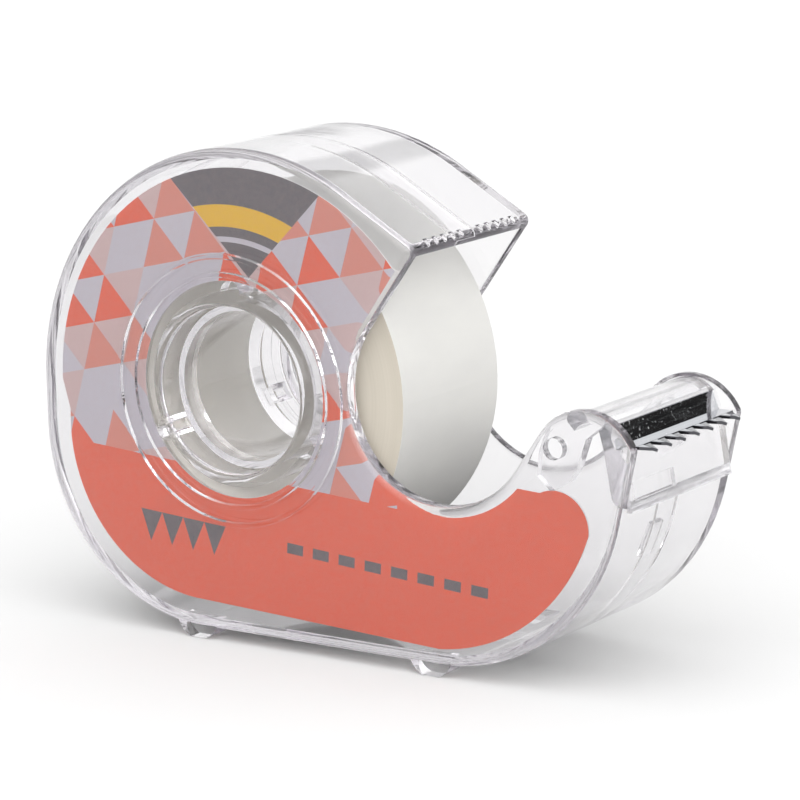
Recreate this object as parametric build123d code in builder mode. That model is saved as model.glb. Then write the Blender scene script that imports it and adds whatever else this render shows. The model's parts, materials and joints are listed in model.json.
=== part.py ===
from build123d import *
import os
from math import acos, atan2, cos, degrees, hypot, radians, sin

# A clear snail-shaped desk dispenser for adhesive tape.
# Millimetres, +Z up, the front face on -Y, the blade on +X.

os.makedirs("parts", exist_ok=True)

# The hub axis runs along Y. Every profile is drawn around it, and the origin is under the middle of the case.
HUB_X = -13.15
HUB_Z = 29.2

# Case: two clear half shells that meet near the middle plane.
WIDTH = 24.5
WALL = 1.6
RIM = 1.2
EDGE_ROUND = 1.0
FRONT_Y = -WIDTH / 2
REAR_Y = WIDTH / 2
FRONT_INNER_Y = FRONT_Y + WALL
REAR_INNER_Y = REAR_Y - WALL
SEAM_Y = 0.4
SEAM_GAP = 0.18
LAP_Y = -3.2
LAP_T = 0.55
LAP_GAP = 0.05

# Outer outline: three arcs joined by tangent lines.
TOP_CENTRE = (1.6, -1.0)
TOP_R = 28.3
BACK_CENTRE = (-5.0, -6.2)
BACK_R = 21.7
HEAD_CENTRE = (27.0, -4.2)
HEAD_R = 23.7
TIP = (25.3, 17.9)
TIP_ROUND = 1.0

# Mouth: a round bay that the roll shows through, and the cheek that stands up beyond it.
MOUTH_CENTRE = (27.8, 1.6)
MOUTH_R = 11.6
CHEEK_CENTRE = (46.0, -4.2)
CHEEK_R = 6.6
CHEEK_CORNER_DEG = 25.0
CHEEK_CORNER_R = 1.0
RIM_END_Z = -7.9

# Raised rings on both side walls, with sloping flanks.
RING_RADII = ((15.55, 14.98), (13.48, 12.9))
RING_H = 0.25
RING_SLOPE = 0.09

# Hub: a collar on each wall, lobes that carry the core, and a tube that joins the halves.
COLLAR_R = 11.1
COLLAR_BORE = 9.5
COLLAR_END = 6.0
LOBE_R = 1.3
LOBE_REACH = 12.35
LOBE_END = 8.0
LOBE_DEGREES = (90, 210, 330)
TUBE_R = 9.4
TUBE_BORE = 8.6
TUBE_FRONT_Y = -9.0
HUB_ROUND = 0.7
SAME_RADIUS = 0.05

# Feet under the flat bottom.
FOOT_X = (-5.6, 26.2)
FOOT_R = 2.8
FOOT_RISE = 2.6
FOOT_ROOT_Z = -27.3
FOOT_LENGTH = 3.0
FOOT_INSET = 0.3

# Grip serrations on the end of the top rim.
SERRATION_R = 0.42
SERRATION_PITCH = 1.65
SERRATION_START = 1.9
SERRATION_LENGTH = 2.4
SERRATIONS = 5

# Latch blocks inside the lap, each on one of the outline's arcs: centre, radius, angle.
LATCHES = ((HEAD_CENTRE, HEAD_R, -23), (TOP_CENTRE, TOP_R, 165), (BACK_CENTRE, BACK_R, 215))
LATCH_W = 4.0
LATCH_T = 0.6
LATCH_ROOT = 0.3
LATCH_L = 2.4

# Blade holder between the cheeks, and its pins.
HOLDER_HALF = 10.6
HOLDER_CHEEK = 1.4
PIN = (42.5, -2.0)
PIN_R = 1.2
PIN_OUT_Y = 12.1
POCKET_Y = (-9.7, -1.2)
POCKET_Z = (-7.2, -5.2)
POCKET_DEPTH = 0.5

# Blade: a folded steel strip with teeth set alternately level and down.
BLADE_HALF = 10.3
BLADE_T = 0.35
TEETH = 14
TOOTH_ROOT_X = 51.55
TOOTH_LENGTH = 1.45
TOOTH_SET_DEG = (2.0, 17.0)
LIP_TOP_Z = -1.15
LIP_UNDER_Z = LIP_TOP_Z - BLADE_T
# Its section: the panel slopes down and out to the fold, and the lip runs level toward +X.
PANEL_TOP = (49.05, 0.85)
PANEL_FOLD = (49.8, LIP_TOP_Z)
PANEL_UNDER_FOLD = (49.52, LIP_UNDER_Z)
PANEL_UNDER_TOP = (48.69, 0.72)

# Holder sections: a plate below the blade, a round bar above it, and a wall at each end.
PLATE_TOP = (50.2, LIP_UNDER_Z)
PLATE_FOOT = (51.2, -8.3)
PLATE_BACK = ((50.5, -8.3), (50.65, -7.5), (49.2, -7.5), (48.2, -1.9))
BAR_INNER = ((47.6, 0.35), (46.3, 0.85), (44.1, -0.2))
BAR_OUTER = ((43.2, 0.7), (46.4, 2.1), PANEL_TOP)
END_WALL_FOOT = ((39.9, -5.4), (41.6, -6.9), (43.8, -5.6), (44.8, -4.2), (46.0, -0.8), (47.6, 0.5))
END_WALL_R = 6.0
END_WALL_DEGREES = (75, 168)

# Roll: tape wound on a core for a 25.4 mm spindle.
CORE_BORE = 12.7
CORE_R = 14.2
ROLL_R = 21.7
TAPE_HALF = 9.5

# Printed card behind the front wall. It follows the outline and the mouth at clearances of its own.
CARD_T = 0.3
CARD_HOLE_R = 12.35
CARD_TOP_R = 26.1
CARD_BACK_R = 18.6
CARD_BACK_DEG = 175
CARD_TIP = (22.5, 15.9)
CARD_FOOT = (27.0, -26.2)
CARD_HEAD = ((41.0, -19.6), (46.2, -11.2))
CARD_END = ((44.6, -7.6), (40.2, -7.2))
CARD_MOUTH_R = 12.9
CARD_MOUTH_DEGREES = (-42, -212)


def at_y(y):
    """The drawing plane across the hub axis at that depth: local x is +X, local y is +Z.
    It extrudes toward -Y."""
    return Plane(origin=(HUB_X, y, HUB_Z), x_dir=(1, 0, 0), z_dir=(0, -1, 0))


def polar(centre, radius, angle):
    """The point at that angle in degrees on a circle."""
    return (centre[0] + radius * cos(radians(angle)), centre[1] + radius * sin(radians(angle)))


def tangent_angle(centre, radius, point, side):
    """The angle on a circle where a line from an outside point touches it, on the side +1 or -1."""
    reach = hypot(point[0] - centre[0], point[1] - centre[1])
    toward = degrees(atan2(point[1] - centre[1], point[0] - centre[0]))
    return toward + side * degrees(acos(radius / reach))


TIP_DEG = tangent_angle(TOP_CENTRE, TOP_R, TIP, 1)
CHEEK_CORNER = polar(CHEEK_CENTRE, CHEEK_R, CHEEK_CORNER_DEG)
HEAD_DEG = tangent_angle(HEAD_CENTRE, HEAD_R, CHEEK_CORNER, -1)
MOUTH_TOP_DEG = tangent_angle(MOUTH_CENTRE, MOUTH_R, TIP, 1)
CROSS_SPAN = hypot(CHEEK_CENTRE[0] - MOUTH_CENTRE[0], CHEEK_CENTRE[1] - MOUTH_CENTRE[1])
CROSS_TURN = degrees(acos((MOUTH_R + CHEEK_R) / CROSS_SPAN))
CROSS_TOWARD = degrees(atan2(CHEEK_CENTRE[1] - MOUTH_CENTRE[1], CHEEK_CENTRE[0] - MOUTH_CENTRE[0]))
CROSS_DEG = CROSS_TOWARD - CROSS_TURN
MOUTH_TOP = polar(MOUTH_CENTRE, MOUTH_R, MOUTH_TOP_DEG)
TIP_EDGE = hypot(TIP[0] - MOUTH_TOP[0], TIP[1] - MOUTH_TOP[1])
TIP_CUT = ((MOUTH_TOP[0] - TIP[0]) / TIP_EDGE, (MOUTH_TOP[1] - TIP[1]) / TIP_EDGE)
TIP_CUT_FALL = -TIP_CUT[0] * cos(radians(TIP_DEG)) - TIP_CUT[1] * sin(radians(TIP_DEG))


def rim_path(inset):
    """Draws the outer outline from the tip of the top rim to the foot of the cheek, moved inward by inset.
    Returns its two ends."""
    tip = (TIP[0] + inset * TIP_CUT[0] / TIP_CUT_FALL, TIP[1] + inset * TIP_CUT[1] / TIP_CUT_FALL)
    Line(tip, polar(TOP_CENTRE, TOP_R - inset, TIP_DEG))
    CenterArc(TOP_CENTRE, TOP_R - inset, TIP_DEG, 180 - TIP_DEG)
    Line(polar(TOP_CENTRE, TOP_R - inset, 180), polar(BACK_CENTRE, BACK_R - inset, 180))
    CenterArc(BACK_CENTRE, BACK_R - inset, 180, 90)
    Line(polar(BACK_CENTRE, BACK_R - inset, 270), polar(HEAD_CENTRE, HEAD_R - inset, 270))
    CenterArc(HEAD_CENTRE, HEAD_R - inset, 270, 90 + HEAD_DEG)
    start = polar(HEAD_CENTRE, HEAD_R - inset, HEAD_DEG)
    rise = RIM_END_Z - polar(HEAD_CENTRE, HEAD_R, HEAD_DEG)[1]
    end = (start[0] - rise * sin(radians(HEAD_DEG)) / cos(radians(HEAD_DEG)), start[1] + rise)
    Line(start, end)
    return tip, end


def rim_band(y, outer, inner):
    """A face along the rim between two insets, at that depth."""
    with BuildSketch(at_y(y)) as band:
        with BuildLine():
            tip_out, end_out = rim_path(outer)
            tip_in, end_in = rim_path(inner)
            Line(tip_out, tip_in)
            Line(end_out, end_in)
        make_face()
    return band.sketch


def side_outline(y):
    """The whole outline of one side wall at that depth, with the mouth and the cheek."""
    with BuildSketch(at_y(y)) as plate:
        with BuildLine():
            tip, end = rim_path(0)
            Line(end, CHEEK_CORNER)
            dome_end = CROSS_DEG + 180
            CenterArc(CHEEK_CENTRE, CHEEK_R, CHEEK_CORNER_DEG, dome_end - CHEEK_CORNER_DEG)
            Line(polar(CHEEK_CENTRE, CHEEK_R, dome_end), polar(MOUTH_CENTRE, MOUTH_R, CROSS_DEG))
            CenterArc(MOUTH_CENTRE, MOUTH_R, CROSS_DEG, MOUTH_TOP_DEG - 360 - CROSS_DEG)
            Line(MOUTH_TOP, tip)
        make_face()
        fillet(plate.vertices().sort_by(Axis.X)[-1], radius=CHEEK_CORNER_R)
        fillet(plate.vertices().sort_by_distance((*TIP, 0))[0], radius=TIP_ROUND)
    return plate.sketch


def round_outer_edge(shell, outer_y):
    """Rounds the outline of the outer face."""
    face = shell.faces().filter_by(Axis.Y).filter_by(lambda f: abs(f.center().Y - outer_y) < WALL / 10)
    fillet(face.sort_by(SortBy.AREA)[-1].outer_wire().edges(), radius=EDGE_ROUND)


def rings(outer_y, side):
    """The raised rings on one outer face. side is -1 for the front and +1 for the rear."""
    section = Plane(origin=(HUB_X, outer_y, HUB_Z), x_dir=(1, 0, 0), z_dir=(0, 0, 1))
    top = side * RING_H
    for big, small in RING_RADII:
        with BuildSketch(section) as ring:
            with BuildLine():
                inner_top, outer_top = (small + RING_SLOPE, top), (big - RING_SLOPE, top)
                Polyline((small - RING_SLOPE, 0), inner_top, outer_top, (big + RING_SLOPE, 0), close=True)
            make_face()
        revolve(ring.sketch, axis=Axis((HUB_X, 0, HUB_Z), (0, 1, 0)))


def collar(inner_y, side):
    """The hub collar on one wall, with the lobes that carry the core."""
    with BuildSketch(at_y(inner_y)) as body:
        Circle(COLLAR_R)
    extrude(body.sketch, amount=side * (abs(inner_y) - COLLAR_END))
    with BuildSketch(at_y(inner_y)) as lobes:
        for angle in LOBE_DEGREES:
            with Locations(polar((0, 0), LOBE_REACH - LOBE_R, angle)):
                Circle(LOBE_R)
    extrude(lobes.sketch, amount=side * (abs(inner_y) - LOBE_END))


def feet(inner_y, side):
    """Two half-round feet with a small flat to stand on."""
    middle = (FOOT_X[0] + FOOT_X[1]) / 2
    depth = FOOT_ROOT_Z + HUB_Z
    with BuildSketch(at_y(inner_y)) as nubs:
        with Locations(*[(x, FOOT_RISE - HUB_Z) for x in FOOT_X]):
            Circle(FOOT_R)
        with Locations((middle, FOOT_ROOT_Z - depth / 2)):
            Rectangle(FOOT_X[1] - FOOT_X[0] + 4 * FOOT_R, depth, mode=Mode.INTERSECT)
    extrude(nubs.sketch, amount=-side * FOOT_LENGTH)


def serrations(first_y, step):
    """A row of small grooves across the top of the rim's end."""
    run = (-sin(radians(TIP_DEG)), cos(radians(TIP_DEG)))
    for i in range(SERRATIONS):
        spot = (HUB_X + TIP[0], first_y + i * step, HUB_Z + TIP[1])
        with Locations(Plane(origin=spot, z_dir=(run[0], 0, run[1]))):
            Cylinder(SERRATION_R, SERRATION_LENGTH, mode=Mode.SUBTRACT)


def bore(radius, from_y, length, spot=(0, 0)):
    """A round hole through the part from that depth toward -Y."""
    with BuildSketch(at_y(from_y)) as hole:
        with Locations(spot):
            Circle(radius)
    extrude(hole.sketch, amount=length, mode=Mode.SUBTRACT)


with BuildPart() as front_shell:
    extrude(rim_band(LAP_Y, 0, RIM), amount=LAP_Y - FRONT_Y)
    extrude(rim_band(SEAM_Y, 0, RIM - LAP_T - LAP_GAP), amount=SEAM_Y - LAP_Y)
    extrude(side_outline(REAR_Y), amount=WIDTH, mode=Mode.INTERSECT)
    extrude(side_outline(FRONT_INNER_Y), amount=WALL)
    round_outer_edge(front_shell.part, FRONT_Y)
    rings(FRONT_Y, -1)
    collar(FRONT_INNER_Y, -1)
    bore(COLLAR_BORE, REAR_Y, WIDTH + RIM)
    circles = front_shell.edges().filter_by(GeomType.CIRCLE)
    hub_rims = circles.filter_by(lambda e: abs(e.radius - COLLAR_BORE) < SAME_RADIUS)
    fillet(hub_rims.sort_by(Axis.Y)[0], radius=HUB_ROUND)
    feet(FRONT_Y + FOOT_INSET + FOOT_LENGTH, -1)
    bore(PIN_R, FRONT_INNER_Y, WALL, PIN)
    serrations(-SERRATION_START, -SERRATION_PITCH)
front_shell.part.label = "front_shell"
export_step(front_shell.part, "parts/front_shell.step")

with BuildPart() as rear_shell:
    extrude(rim_band(REAR_Y, 0, RIM), amount=REAR_Y - SEAM_Y - SEAM_GAP)
    extrude(rim_band(SEAM_Y + SEAM_GAP, RIM - LAP_T, RIM), amount=SEAM_Y - LAP_Y)
    extrude(side_outline(REAR_Y), amount=WIDTH, mode=Mode.INTERSECT)
    extrude(side_outline(REAR_Y), amount=WALL)
    round_outer_edge(rear_shell.part, REAR_Y)
    rings(REAR_Y, 1)
    collar(REAR_INNER_Y, 1)
    with BuildSketch(at_y(REAR_INNER_Y)):
        Circle(TUBE_R)
    extrude(amount=REAR_INNER_Y - TUBE_FRONT_Y)
    bore(TUBE_BORE, REAR_Y + RIM, WIDTH + RIM)
    feet(REAR_Y - FOOT_INSET - FOOT_LENGTH, 1)
    bore(PIN_R, REAR_Y, WALL, PIN)
    serrations(SERRATION_START, SERRATION_PITCH)
    for centre, radius, angle in LATCHES:
        spot = polar(centre, radius - RIM + LATCH_ROOT / 2 - LATCH_T / 2, angle)
        where = (HUB_X + spot[0], LAP_Y + SEAM_GAP + LATCH_L / 2, HUB_Z + spot[1])
        with Locations(Location(where, (0, -angle, 0))):
            Box(LATCH_T + LATCH_ROOT, LATCH_L, LATCH_W)
rear_shell.part.label = "rear_shell"
export_step(rear_shell.part, "parts/rear_shell.step")

def end_wall(inner_y, side):
    """One end wall of the holder, lying against a cheek, with its pin."""
    with BuildSketch(at_y(inner_y)) as plate:
        with BuildLine():
            first, last = END_WALL_DEGREES
            CenterArc(CHEEK_CENTRE, END_WALL_R, first, last - first)
            corners = (polar(CHEEK_CENTRE, END_WALL_R, last), *END_WALL_FOOT)
            Polyline(*corners, polar(CHEEK_CENTRE, END_WALL_R, first))
        make_face()
    extrude(plate.sketch, amount=-side * HOLDER_CHEEK)
    with BuildSketch(at_y(inner_y)) as pin:
        with Locations(PIN):
            Circle(PIN_R)
    extrude(pin.sketch, amount=-side * (PIN_OUT_Y - abs(inner_y)))


with BuildPart() as blade_holder:
    with BuildSketch(at_y(HOLDER_HALF)):
        with BuildLine():
            ThreePointArc(*BAR_OUTER)
            Polyline(PANEL_TOP, PANEL_UNDER_TOP, PANEL_UNDER_FOLD, PLATE_TOP)
            Polyline(PLATE_TOP, PLATE_FOOT, *PLATE_BACK, BAR_INNER[0])
            ThreePointArc(*BAR_INNER)
            Line(BAR_INNER[2], BAR_OUTER[0])
        make_face()
    extrude(amount=2 * HOLDER_HALF)
    end_wall(HOLDER_CHEEK - HOLDER_HALF, -1)
    end_wall(HOLDER_HALF - HOLDER_CHEEK, 1)
    lean = atan2(PLATE_FOOT[0] - PLATE_TOP[0], PLATE_TOP[1] - PLATE_FOOT[1])
    pocket_z = (POCKET_Z[0] + POCKET_Z[1]) / 2
    pocket_x = PLATE_TOP[0] + (PLATE_TOP[1] - pocket_z) * sin(lean) / cos(lean)
    pocket_at = (HUB_X + pocket_x, (POCKET_Y[0] + POCKET_Y[1]) / 2, HUB_Z + pocket_z)
    with Locations(Location(pocket_at, (0, -degrees(lean), 0))):
        Box(2 * POCKET_DEPTH, POCKET_Y[1] - POCKET_Y[0], POCKET_Z[1] - POCKET_Z[0], mode=Mode.SUBTRACT)
blade_holder.part.label = "blade_holder"
export_step(blade_holder.part, "parts/blade_holder.step")

with BuildPart() as blade:
    with BuildSketch(at_y(BLADE_HALF)):
        with BuildLine():
            Polyline(PANEL_TOP, PANEL_FOLD, (TOOTH_ROOT_X, LIP_TOP_Z), (TOOTH_ROOT_X, LIP_UNDER_Z))
            Polyline((TOOTH_ROOT_X, LIP_UNDER_Z), PANEL_UNDER_FOLD, PANEL_UNDER_TOP, PANEL_TOP)
        make_face()
    extrude(amount=2 * BLADE_HALF)
    pitch = 2 * BLADE_HALF / TEETH
    for i in range(TEETH):
        tilt = radians(TOOTH_SET_DEG[i % 2])
        root = (HUB_X + TOOTH_ROOT_X - BLADE_T, -BLADE_HALF + (i + 0.5) * pitch, HUB_Z + LIP_TOP_Z)
        slope = Plane(origin=root, x_dir=(cos(tilt), 0, -sin(tilt)), z_dir=(sin(tilt), 0, cos(tilt)))
        with BuildSketch(slope):
            Polygon((0, -pitch / 2), (BLADE_T + TOOTH_LENGTH, 0), (0, pitch / 2), align=None)
        extrude(amount=-BLADE_T)
blade.part.label = "blade"
export_step(blade.part, "parts/blade.step")

with BuildPart() as tape_core:
    with BuildSketch(at_y(TAPE_HALF)):
        Circle(CORE_R)
        Circle(CORE_BORE, mode=Mode.SUBTRACT)
    extrude(amount=2 * TAPE_HALF)
tape_core.part.label = "tape_core"
export_step(tape_core.part, "parts/tape_core.step")

with BuildPart() as tape_roll:
    with BuildSketch(at_y(TAPE_HALF)):
        Circle(ROLL_R)
        Circle(CORE_R, mode=Mode.SUBTRACT)
    extrude(amount=2 * TAPE_HALF)
tape_roll.part.label = "tape_roll"
export_step(tape_roll.part, "parts/tape_roll.step")

with BuildPart() as label_card:
    with BuildSketch(at_y(FRONT_INNER_Y + CARD_T)):
        with BuildLine():
            top_deg = degrees(atan2(CARD_TIP[1] - TOP_CENTRE[1], CARD_TIP[0] - TOP_CENTRE[0]))
            top_start = polar(TOP_CENTRE, CARD_TOP_R, top_deg)
            CenterArc(TOP_CENTRE, CARD_TOP_R, top_deg, 180 - top_deg)
            Line(polar(TOP_CENTRE, CARD_TOP_R, 180), polar(BACK_CENTRE, CARD_BACK_R, CARD_BACK_DEG))
            CenterArc(BACK_CENTRE, CARD_BACK_R, CARD_BACK_DEG, 270 - CARD_BACK_DEG)
            Line(polar(BACK_CENTRE, CARD_BACK_R, 270), CARD_FOOT)
            ThreePointArc(CARD_FOOT, *CARD_HEAD)
            ThreePointArc(CARD_HEAD[1], *CARD_END)
            first, last = CARD_MOUTH_DEGREES
            Line(CARD_END[1], polar(MOUTH_CENTRE, CARD_MOUTH_R, first))
            CenterArc(MOUTH_CENTRE, CARD_MOUTH_R, first, last - first)
            Line(polar(MOUTH_CENTRE, CARD_MOUTH_R, last), top_start)
        make_face()
        Circle(CARD_HOLE_R, mode=Mode.SUBTRACT)
    extrude(amount=CARD_T)
label_card.part.label = "label_card"
export_step(label_card.part, "parts/label_card.step")
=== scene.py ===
"""The looks of the clear tape dispenser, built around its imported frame. Metres, +Z up, front face on -Y."""

import json
from math import atan2, cos, radians, sin

import bpy
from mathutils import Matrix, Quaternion, Vector


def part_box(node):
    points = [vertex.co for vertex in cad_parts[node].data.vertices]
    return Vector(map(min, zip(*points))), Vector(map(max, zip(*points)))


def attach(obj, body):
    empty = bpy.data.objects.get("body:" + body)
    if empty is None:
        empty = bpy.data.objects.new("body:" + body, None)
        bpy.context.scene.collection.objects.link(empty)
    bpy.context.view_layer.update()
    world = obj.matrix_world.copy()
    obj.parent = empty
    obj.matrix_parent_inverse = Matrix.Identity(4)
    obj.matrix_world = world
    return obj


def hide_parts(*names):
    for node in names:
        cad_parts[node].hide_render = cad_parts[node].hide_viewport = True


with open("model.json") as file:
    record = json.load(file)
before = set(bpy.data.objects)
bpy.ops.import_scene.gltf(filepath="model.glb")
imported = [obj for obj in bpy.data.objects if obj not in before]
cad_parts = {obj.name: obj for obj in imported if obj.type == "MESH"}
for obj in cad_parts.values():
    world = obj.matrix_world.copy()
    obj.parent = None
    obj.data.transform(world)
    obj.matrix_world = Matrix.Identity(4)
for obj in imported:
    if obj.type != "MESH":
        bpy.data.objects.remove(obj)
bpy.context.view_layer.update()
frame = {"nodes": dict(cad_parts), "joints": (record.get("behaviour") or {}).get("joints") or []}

# Where the roll turns: every round pattern is drawn about this axis.
HUB = Vector(frame["joints"][0]["pos_m"])
MM = 0.001

# The camera looks along its own axis at a point near the middle of the object.
CAMERA_AZIMUTH = 34.46
CAMERA_ELEVATION = 11.90
CAMERA_ROLL = -1.29
CAMERA_DISTANCE = 0.424
CAMERA_TARGET = Vector((-0.0022, 0.0056, 0.0260))
CAMERA_LENS = 167.7

# The floor is wide enough to fill the view behind the object.
FLOOR_RADIUS = 6.0
FLOOR_DROP = 0.00005
FLOOR_SIDES = 96
FLOOR_GREY = (0.58, 0.58, 0.58, 1)


def direction(azimuth, elevation):
    """The unit vector that points out from the object toward a camera or lamp at those angles in degrees."""
    around, up = radians(azimuth), radians(elevation)
    return Vector((sin(around) * cos(up), -cos(around) * cos(up), sin(up)))


class Graph:
    """The node tree of a material or a world, with short calls for the nodes used here."""

    def __init__(self, owner):
        owner.use_nodes = True
        self.owner = owner
        self.tree = owner.node_tree

    def add(self, kind, **settings):
        """A new node with those settings."""
        node = self.tree.nodes.new("ShaderNode" + kind)
        for name, value in settings.items():
            setattr(node, name, value)
        return node

    def feed(self, socket, value):
        """Links a socket into another, or sets it to a plain value."""
        if isinstance(value, bpy.types.NodeSocket):
            self.tree.links.new(value, socket)
        else:
            socket.default_value = value

    def math(self, operation, a, b=0.0):
        """One step of arithmetic."""
        node = self.add("Math", operation=operation)
        self.feed(node.inputs[0], a)
        self.feed(node.inputs[1], b)
        return node.outputs[0]

    def mix(self, factor, a, b):
        """A colour between a and b."""
        node = self.add("Mix", data_type="RGBA")
        self.feed(node.inputs[0], factor)
        self.feed(node.inputs[6], a)
        self.feed(node.inputs[7], b)
        return node.outputs[2]

    def ramp(self, value, low, high, to_low=0.0, to_high=1.0, smooth=False):
        """Maps value from low..high to to_low..to_high and holds it there."""
        node = self.add("MapRange", interpolation_type="SMOOTHSTEP" if smooth else "LINEAR")
        self.feed(node.inputs[0], value)
        for i, end in enumerate((low, high, to_low, to_high), start=1):
            self.feed(node.inputs[i], end)
        return node.outputs[0]

    def within(self, value, low, high):
        """1 between low and high, and 0 outside."""
        above = self.math("GREATER_THAN", value, low)
        return self.math("MULTIPLY", above, self.math("LESS_THAN", value, high))

    def noise(self, where, scale, detail=2.0, roughness=0.5):
        """Smooth noise from 0 to 1 at that many cells to the metre."""
        node = self.add("TexNoise")
        self.feed(node.inputs["Vector"], where)
        self.feed(node.inputs["Scale"], scale)
        self.feed(node.inputs["Detail"], detail)
        self.feed(node.inputs["Roughness"], roughness)
        return node.outputs[0]

    def place(self, origin=(0, 0, 0), scale=(1, 1, 1)):
        """The point on the object in the part's frame, measured from origin and stretched by scale."""
        spot = self.add("TexCoord").outputs["Object"]
        moved = self.add("VectorMath", operation="SUBTRACT")
        self.feed(moved.inputs[0], spot)
        self.feed(moved.inputs[1], origin)
        stretched = self.add("VectorMath", operation="MULTIPLY")
        self.feed(stretched.inputs[0], moved.outputs[0])
        self.feed(stretched.inputs[1], scale)
        return stretched.outputs[0]

    def split(self, vector):
        """The X, Y and Z sockets of a vector."""
        node = self.add("SeparateXYZ")
        self.feed(node.inputs[0], vector)
        return node.outputs

    def join(self, x=0.0, y=0.0, z=0.0):
        """A vector from three numbers."""
        node = self.add("CombineXYZ")
        for socket, value in zip(node.inputs, (x, y, z)):
            self.feed(socket, value)
        return node.outputs[0]

    def bump(self, height, distance, strength=1.0):
        """A bumped normal from a height of 0 to 1."""
        node = self.add("Bump")
        self.feed(node.inputs["Height"], height)
        node.inputs["Distance"].default_value = distance
        node.inputs["Strength"].default_value = strength
        return node.outputs[0]


def surface(name, **sockets):
    """A new material and its Principled shader, with plain values set on the shader's own sockets."""
    graph = Graph(bpy.data.materials.new(name))
    shader = graph.tree.nodes["Principled BSDF"]
    for socket, value in sockets.items():
        shader.inputs[socket.replace("_", " ").title().replace("Ior", "IOR")].default_value = value
    return graph, shader


# Clear plastic: its faces' tint, its refraction, and how much it greys the light that runs inside a wall.
PLASTIC_TINT = (0.945, 0.94, 0.948, 1)
PLASTIC_IOR = 1.50
BODY_TINT = (0.50, 0.47, 0.52, 1)
BODY_DENSITY = 24.0
RIPPLE_SCALE = 90.0
HAZE_SCALE = 260.0


def clear_plastic(name, wave, haze):
    """Clear moulded plastic: slow ripples from the mould, and a little haze that comes and goes."""
    graph, shader = surface(name, base_color=PLASTIC_TINT, transmission_weight=1.0, ior=PLASTIC_IOR)
    where = graph.place()
    ripples = graph.noise(where, RIPPLE_SCALE, detail=1.0)
    graph.feed(shader.inputs["Normal"], graph.bump(ripples, wave))
    patches = graph.noise(where, HAZE_SCALE, detail=3.0)
    graph.feed(shader.inputs["Roughness"], graph.ramp(patches, 0.45, 0.75, haze / 4, haze))
    body = graph.add("VolumeAbsorption")
    body.inputs["Color"].default_value = BODY_TINT
    body.inputs["Density"].default_value = BODY_DENSITY
    graph.feed(graph.tree.nodes["Material Output"].inputs["Volume"], body.outputs[0])
    return graph.owner


def from_hub(graph):
    """X and Z from the roll's axis in millimetres, and the distance from it."""
    x, _, z = graph.split(graph.place(origin=HUB, scale=(1 / MM,) * 3))
    squares = graph.math("ADD", graph.math("MULTIPLY", x, x), graph.math("MULTIPLY", z, z))
    return x, z, graph.math("SQRT", squares)


def facing(graph, axis):
    """How far the surface faces along the X, Y or Z axis, from -1 to 1."""
    return graph.split(graph.add("NewGeometry").outputs["Normal"])["XYZ".index(axis)]


# The tape: film outside, and cream at the wound sides, where it varies with the radius in millimetres.
FILM = ((0.47, 0.465, 0.45, 1), (0.50, 0.495, 0.475, 1))
CREAM = ((0.37, 0.335, 0.28, 1), (0.43, 0.395, 0.335, 1))
CREAM_BROAD = (0.46, 0.425, 0.365, 1)
FINE_RINGS = 4.0
BROAD_RINGS = 0.5
MOTTLE_SCALE = 320.0
FILM_RELIEF = 0.03 * MM


def wound_tape():
    """Matte film: off-white outside, and cream at the wound sides, where the layers show as fine rings."""
    graph, shader = surface("wound_tape")
    _, _, radius = from_hub(graph)
    rings = graph.noise(graph.join(x=radius), FINE_RINGS, detail=4.0, roughness=0.7)
    broad = graph.noise(graph.join(x=radius), BROAD_RINGS, detail=1.0)
    cream = graph.mix(graph.ramp(rings, 0.3, 0.7), *CREAM)
    cream = graph.mix(graph.ramp(broad, 0.35, 0.65, 0.0, 0.5), cream, CREAM_BROAD)
    mottle = graph.noise(graph.place(scale=(1, 0.35, 1)), MOTTLE_SCALE, detail=4.0)
    film = graph.mix(graph.ramp(mottle, 0.3, 0.7), *FILM)
    side = graph.ramp(graph.math("ABSOLUTE", facing(graph, "Y")), 0.5, 0.7)
    graph.feed(shader.inputs["Base Color"], graph.mix(side, film, cream))
    graph.feed(shader.inputs["Roughness"], graph.ramp(mottle, 0.2, 0.8, 0.42, 0.55))
    height = graph.mix(side, mottle, rings)
    graph.feed(shader.inputs["Normal"], graph.bump(height, FILM_RELIEF, 0.6))
    return graph.owner


CORE_CREAM = ((0.95, 0.91, 0.82, 1), (0.975, 0.945, 0.87, 1))
CORE_SCALE = 500.0
CORE_RELIEF = 0.02 * MM


def core_plastic():
    """The cream core, with faint turning marks."""
    graph, shader = surface("core_plastic")
    spots = graph.noise(graph.place(), CORE_SCALE, detail=3.0)
    lines = graph.noise(graph.place(scale=(0.1, 4, 0.1)), CORE_SCALE, detail=2.0)
    graph.feed(shader.inputs["Base Color"], graph.mix(spots, *CORE_CREAM))
    graph.feed(shader.inputs["Roughness"], graph.ramp(spots, 0.3, 0.7, 0.35, 0.5))
    graph.feed(shader.inputs["Normal"], graph.bump(lines, CORE_RELIEF, 0.5))
    return graph.owner


# The blade's teeth begin this many millimetres out from the hub axis. Their sheared flanks face sideways, and
# painted shade colours them dark.
TEETH_FROM = 51.3
FLANK_RISE = 0.3
ROLLED_STEEL = ((0.62, 0.63, 0.65, 1), (0.74, 0.75, 0.77, 1))
FLANK_PAINTED_SHADE = (0.10, 0.10, 0.11, 1)
ROLLING_SCALE = 700.0
SPECK_SCALE = 2600.0
STEEL_RELIEF = 0.01 * MM


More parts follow.
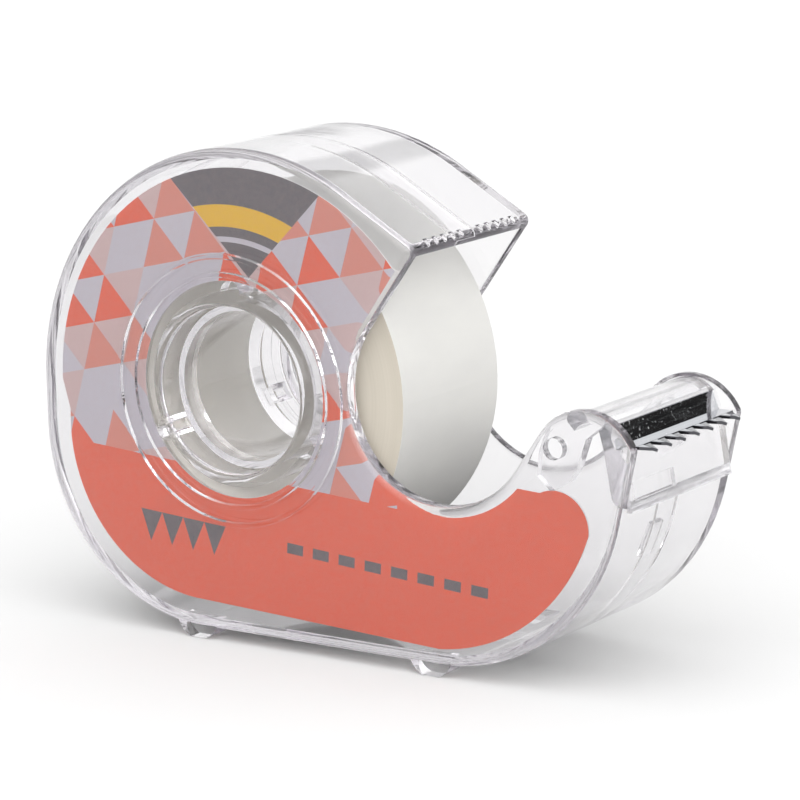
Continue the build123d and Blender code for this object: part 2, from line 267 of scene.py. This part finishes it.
def blade_steel():
    """Mirror steel with fine rolling lines along its length, and painted shade as dark steel on the teeth's
    sheared flanks.
    """
    graph, shader = surface("blade_steel", metallic=1.0)
    lines = graph.noise(graph.place(scale=(6, 0.25, 6)), ROLLING_SCALE, detail=4.0)
    specks = graph.noise(graph.place(), SPECK_SCALE, detail=2.0)
    x, _, _ = from_hub(graph)
    upright = graph.math("LESS_THAN", graph.math("ABSOLUTE", facing(graph, "Z")), FLANK_RISE)
    # Painted shade: the teeth's sideways flanks get a dark steel colour.
    flank = graph.math("MULTIPLY", graph.math("GREATER_THAN", x, TEETH_FROM), upright)
    graph.feed(shader.inputs["Base Color"], graph.mix(flank, graph.mix(lines, *ROLLED_STEEL), FLANK_PAINTED_SHADE))
    dull_specks = graph.ramp(specks, 0.62, 0.72, 0.0, 0.2)
    rough = graph.math("ADD", graph.ramp(lines, 0.3, 0.7, 0.04, 0.11), dull_specks)
    graph.feed(shader.inputs["Roughness"], rough)
    graph.feed(shader.inputs["Normal"], graph.bump(lines, STEEL_RELIEF, 0.3))
    return graph.owner


# The card's print: its colours, and its places in millimetres from the hub axis.
LATTICE_SIDE = 5.9
LATTICE_TILT = 13.0
LATTICE_TURNS = (90, 210, 330)
CORAL = (0.80, 0.115, 0.05, 1)
CORAL_SOFT = (0.70, 0.25, 0.19, 1)
BLUSH = (0.62, 0.45, 0.44, 1)
LAVENDER = (0.56, 0.535, 0.59, 1)
GRAIN = (0.50, 0.30, 0.28, 1)
GRAIN_SCALE = 1500.0
CARD_STOCK = (0.74, 0.735, 0.72, 1)
BOLD_TINTS = ((0.34, CORAL_SOFT), (0.64, CORAL))
PALE_TINTS = ((0.52, BLUSH),)
INK = (0.12, 0.11, 0.12, 1)
YELLOW = (0.80, 0.47, 0.01, 1)
CARD_RELIEF = 0.005 * MM

# The coral field's upper edge runs between these two points. U runs along it, and V across it.
FIELD_LEFT = (-23.4, -8.0)
FIELD_RIGHT = (21.8, -11.1)
WEDGE_POINT = (2.6, 12.9)
WEDGE_BAND = (18.4, 20.9)
WEDGE_LINE = (16.7, 17.3)
BUNTING_U = (-12.6, -0.6)
BUNTING_V = (-19.6, -16.0)
BUNTING_PITCH = 3.0
DASHES_U = (8.0, 35.4)
DASHES_V = (-17.4, -16.2)
DASH_PITCH = 3.5
DASH_SHARE = 0.62


def lattice(graph, x, z):
    """Triangles drawn at random from their places in the lattice: bold ones that point down, pale ones up."""
    row_height = LATTICE_SIDE * sin(radians(60))
    cells = []
    for turn in LATTICE_TURNS:
        angle = radians(LATTICE_TILT + turn)
        along_x = graph.math("MULTIPLY", x, cos(angle) / row_height)
        along_z = graph.math("MULTIPLY", z, sin(angle) / row_height)
        cells.append(graph.math("FLOOR", graph.math("ADD", along_x, along_z)))
    dice = graph.add("TexWhiteNoise", noise_dimensions="3D")
    graph.feed(dice.inputs["Vector"], graph.join(*cells))
    colours = []
    for tints in (BOLD_TINTS, PALE_TINTS):
        colour = LAVENDER
        for least, tint in tints:
            colour = graph.mix(graph.math("GREATER_THAN", dice.outputs["Value"], least), colour, tint)
        colours.append(colour)
    # The three cell numbers of a triangle add up to -1 one way up and to -2 the other way.
    total = graph.math("ADD", graph.math("ADD", cells[0], cells[1]), cells[2])
    return graph.mix(graph.math("LESS_THAN", total, -1.5), *colours)


def wedge(graph, x, z, radius, colour):
    """A dark wedge that points down, with a yellow band and a pale line round the hub."""
    aside = graph.math("ABSOLUTE", graph.math("SUBTRACT", x, WEDGE_POINT[0]))
    inside = graph.math("LESS_THAN", aside, graph.math("SUBTRACT", z, WEDGE_POINT[1]))
    ink = graph.mix(graph.within(radius, *WEDGE_BAND), INK, YELLOW)
    ink = graph.mix(graph.within(radius, *WEDGE_LINE), ink, LAVENDER)
    return graph.mix(inside, colour, ink)


def ornaments(graph, u, v, colour):
    """A bunting of small triangles and a dashed line across the coral field."""
    rise = graph.ramp(v, BUNTING_V[0], BUNTING_V[1])
    place = graph.math("FRACT", graph.math("DIVIDE", graph.math("SUBTRACT", u, BUNTING_U[0]), BUNTING_PITCH))
    aside = graph.math("MULTIPLY", graph.math("ABSOLUTE", graph.math("SUBTRACT", place, 0.5)), 2.0)
    flag = graph.math("LESS_THAN", aside, rise)
    flag = graph.math("MULTIPLY", flag, graph.within(u, *BUNTING_U))
    flag = graph.math("MULTIPLY", flag, graph.within(v, *BUNTING_V))
    place = graph.math("FRACT", graph.math("DIVIDE", graph.math("SUBTRACT", u, DASHES_U[0]), DASH_PITCH))
    dash = graph.math("LESS_THAN", place, DASH_SHARE)
    dash = graph.math("MULTIPLY", dash, graph.within(u, *DASHES_U))
    dash = graph.math("MULTIPLY", dash, graph.within(v, *DASHES_V))
    return graph.mix(graph.math("MAXIMUM", flag, dash), colour, INK)


def card_print():
    """The card: its front has a lattice over a coral field, a dark wedge and ornaments. Its back is plain."""
    graph, shader = surface("card_print", roughness=0.6)
    shader.inputs["Specular IOR Level"].default_value = 0.15
    x, z, radius = from_hub(graph)
    colour = lattice(graph, x, z)
    tilt = atan2(FIELD_RIGHT[1] - FIELD_LEFT[1], FIELD_RIGHT[0] - FIELD_LEFT[0])
    u = graph.math("ADD", graph.math("MULTIPLY", x, cos(tilt)), graph.math("MULTIPLY", z, sin(tilt)))
    v = graph.math("SUBTRACT", graph.math("MULTIPLY", z, cos(tilt)), graph.math("MULTIPLY", x, sin(tilt)))
    edge = FIELD_LEFT[1] * cos(tilt) - FIELD_LEFT[0] * sin(tilt)
    below = graph.math("LESS_THAN", v, edge)
    beyond = graph.math("GREATER_THAN", x, FIELD_RIGHT[0])
    beyond = graph.math("MULTIPLY", beyond, graph.math("LESS_THAN", z, 0.0))
    colour = graph.mix(graph.math("MAXIMUM", below, beyond), colour, CORAL)
    colour = wedge(graph, x, z, radius, colour)
    colour = ornaments(graph, u, v, colour)
    toward_front = graph.math("LESS_THAN", facing(graph, "Y"), -0.5)
    colour = graph.mix(toward_front, CARD_STOCK, colour)
    grain = graph.noise(graph.place(), GRAIN_SCALE, detail=3.0)
    graph.feed(shader.inputs["Base Color"], graph.mix(graph.ramp(grain, 0.3, 0.7, 0.0, 0.1), colour, GRAIN))
    graph.feed(shader.inputs["Normal"], graph.bump(grain, CARD_RELIEF, 0.2))
    return graph.owner


CARD_GAP = 0.06 * MM


def make_card():
    """The printed card, a hair thinner than the space it fills, so that air shows between it and the wall."""
    mesh = frame["nodes"]["label_card"].data.copy()
    low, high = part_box("label_card")
    middle = (low.y + high.y) / 2
    share = 1 - CARD_GAP / (high.y - middle)
    for vertex in mesh.vertices:
        vertex.co.y = middle + (vertex.co.y - middle) * share
    card = bpy.data.objects.new("printed_card", mesh)
    bpy.context.scene.collection.objects.link(card)
    mesh.materials.clear()
    mesh.materials.append(card_print())
    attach(card, "case")
    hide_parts("label_card")


def dress(node, material):
    """Gives a CAD node its material."""
    slots = frame["nodes"][node].data.materials
    slots.clear()
    slots.append(material)


# The studio: how bright it is low down and overhead, and its light as a whole and as the camera sees it.
STUDIO_LOW = 0.72
STUDIO_HIGH = 1.08
STUDIO_RISE = (-0.1, 0.8)
STUDIO_STRENGTH = 1.2
STUDIO_SEEN = (0.8, 0.8, 0.8, 1)

# Its patches: azimuth and elevation, the angles where each is full and ends, and the brightness inside.
PATCHES = (
    (148.9, 9.5, 3.5, 6.5, 0.02),
    (203.0, 29.0, 3.0, 7.0, 0.4),
    (262.0, 15.0, 8.0, 24.0, 0.55),
    (55.0, 10.0, 15.0, 42.0, 1.7),
    (118.0, 14.0, 8.0, 24.0, 2.4),
    (30.0, 32.0, 20.0, 65.0, 2.25),
)


def make_world():
    """A pale studio. Plastic and steel reflect its dim patches, and its bright ones light the hub."""
    graph = Graph(bpy.data.worlds.new("studio"))
    bpy.context.scene.world = graph.owner
    background = graph.tree.nodes["Background"]
    way = graph.add("VectorMath", operation="NORMALIZE")
    graph.feed(way.inputs[0], graph.add("TexCoord").outputs["Generated"])
    up = graph.split(way.outputs[0])[2]
    light = graph.ramp(up, *STUDIO_RISE, STUDIO_LOW, STUDIO_HIGH, smooth=True)
    for azimuth, elevation, full, end, level in PATCHES:
        near = graph.add("VectorMath", operation="DOT_PRODUCT")
        graph.feed(near.inputs[0], way.outputs[0])
        graph.feed(near.inputs[1], direction(azimuth, elevation))
        edges = cos(radians(end)), cos(radians(full))
        share = graph.ramp(near.outputs["Value"], *edges, 1.0, level, smooth=True)
        light = graph.math("MULTIPLY", light, share)
    seen = graph.add("LightPath").outputs["Is Camera Ray"]
    light = graph.mix(seen, light, STUDIO_SEEN)
    graph.feed(background.inputs["Color"], light)
    background.inputs["Strength"].default_value = STUDIO_STRENGTH


LAMP_SIZE = (0.7, 0.6)
LAMP_ENERGY = 0.6
LAMP_DISTANCE = 0.7
LAMP_ANGLES = (-20, 62)


def make_key_light():
    """One large soft lamp above and to the left."""
    lamp = bpy.data.lights.new("key", "AREA")
    lamp.shape = "RECTANGLE"
    lamp.size, lamp.size_y = LAMP_SIZE
    lamp.energy = LAMP_ENERGY
    key = bpy.data.objects.new("key", lamp)
    bpy.context.scene.collection.objects.link(key)
    out = direction(*LAMP_ANGLES)
    key.location = CAMERA_TARGET + LAMP_DISTANCE * out
    key.rotation_euler = out.to_track_quat("Z", "Y").to_euler()


def make_floor():
    """A plain pale disc just under the feet."""
    bpy.ops.mesh.primitive_circle_add(vertices=FLOOR_SIDES, radius=FLOOR_RADIUS, fill_type="NGON")
    floor = bpy.context.object
    floor.name = "floor"
    floor.location.z = -FLOOR_DROP
    graph, shader = surface("floor_white", base_color=FLOOR_GREY, roughness=0.9)
    shader.inputs["Specular IOR Level"].default_value = 0.0
    floor.data.materials.append(graph.owner)


def make_camera():
    """The camera at its angle, with its slight roll."""
    camera = bpy.data.objects.new("camera", bpy.data.cameras.new("camera"))
    bpy.context.scene.collection.objects.link(camera)
    out = direction(CAMERA_AZIMUTH, CAMERA_ELEVATION)
    camera.location = CAMERA_TARGET + CAMERA_DISTANCE * out
    roll = Quaternion((0, 0, 1), radians(CAMERA_ROLL))
    camera.rotation_euler = (out.to_track_quat("Z", "Y") @ roll).to_euler()
    camera.data.lens = CAMERA_LENS
    camera.data.clip_start = 0.01
    bpy.context.scene.camera = camera


# Light that runs inside a clear wall turns back at its faces many times, and each turn is a bounce.
CLEAR_BOUNCES = 96
MIRROR_BOUNCES = 64
MATTE_BOUNCES = 8


def set_render():
    """Plain colours, and enough bounces for light to run the length of a clear wall."""
    scene = bpy.context.scene
    scene.view_settings.view_transform = "Standard"
    scene.cycles.max_bounces = CLEAR_BOUNCES
    scene.cycles.transmission_bounces = CLEAR_BOUNCES
    scene.cycles.glossy_bounces = MIRROR_BOUNCES
    scene.cycles.diffuse_bounces = MATTE_BOUNCES


make_camera()
make_floor()
make_world()
make_key_light()
set_render()

shell = clear_plastic("shell_clear", wave=0.05 * MM, haze=0.02)
dress("front_shell", shell)
dress("rear_shell", shell)
dress("blade_holder", clear_plastic("holder_clear", wave=0.04 * MM, haze=0.22))
dress("blade", blade_steel())
dress("tape_core", core_plastic())
dress("tape_roll", wound_tape())
make_card()
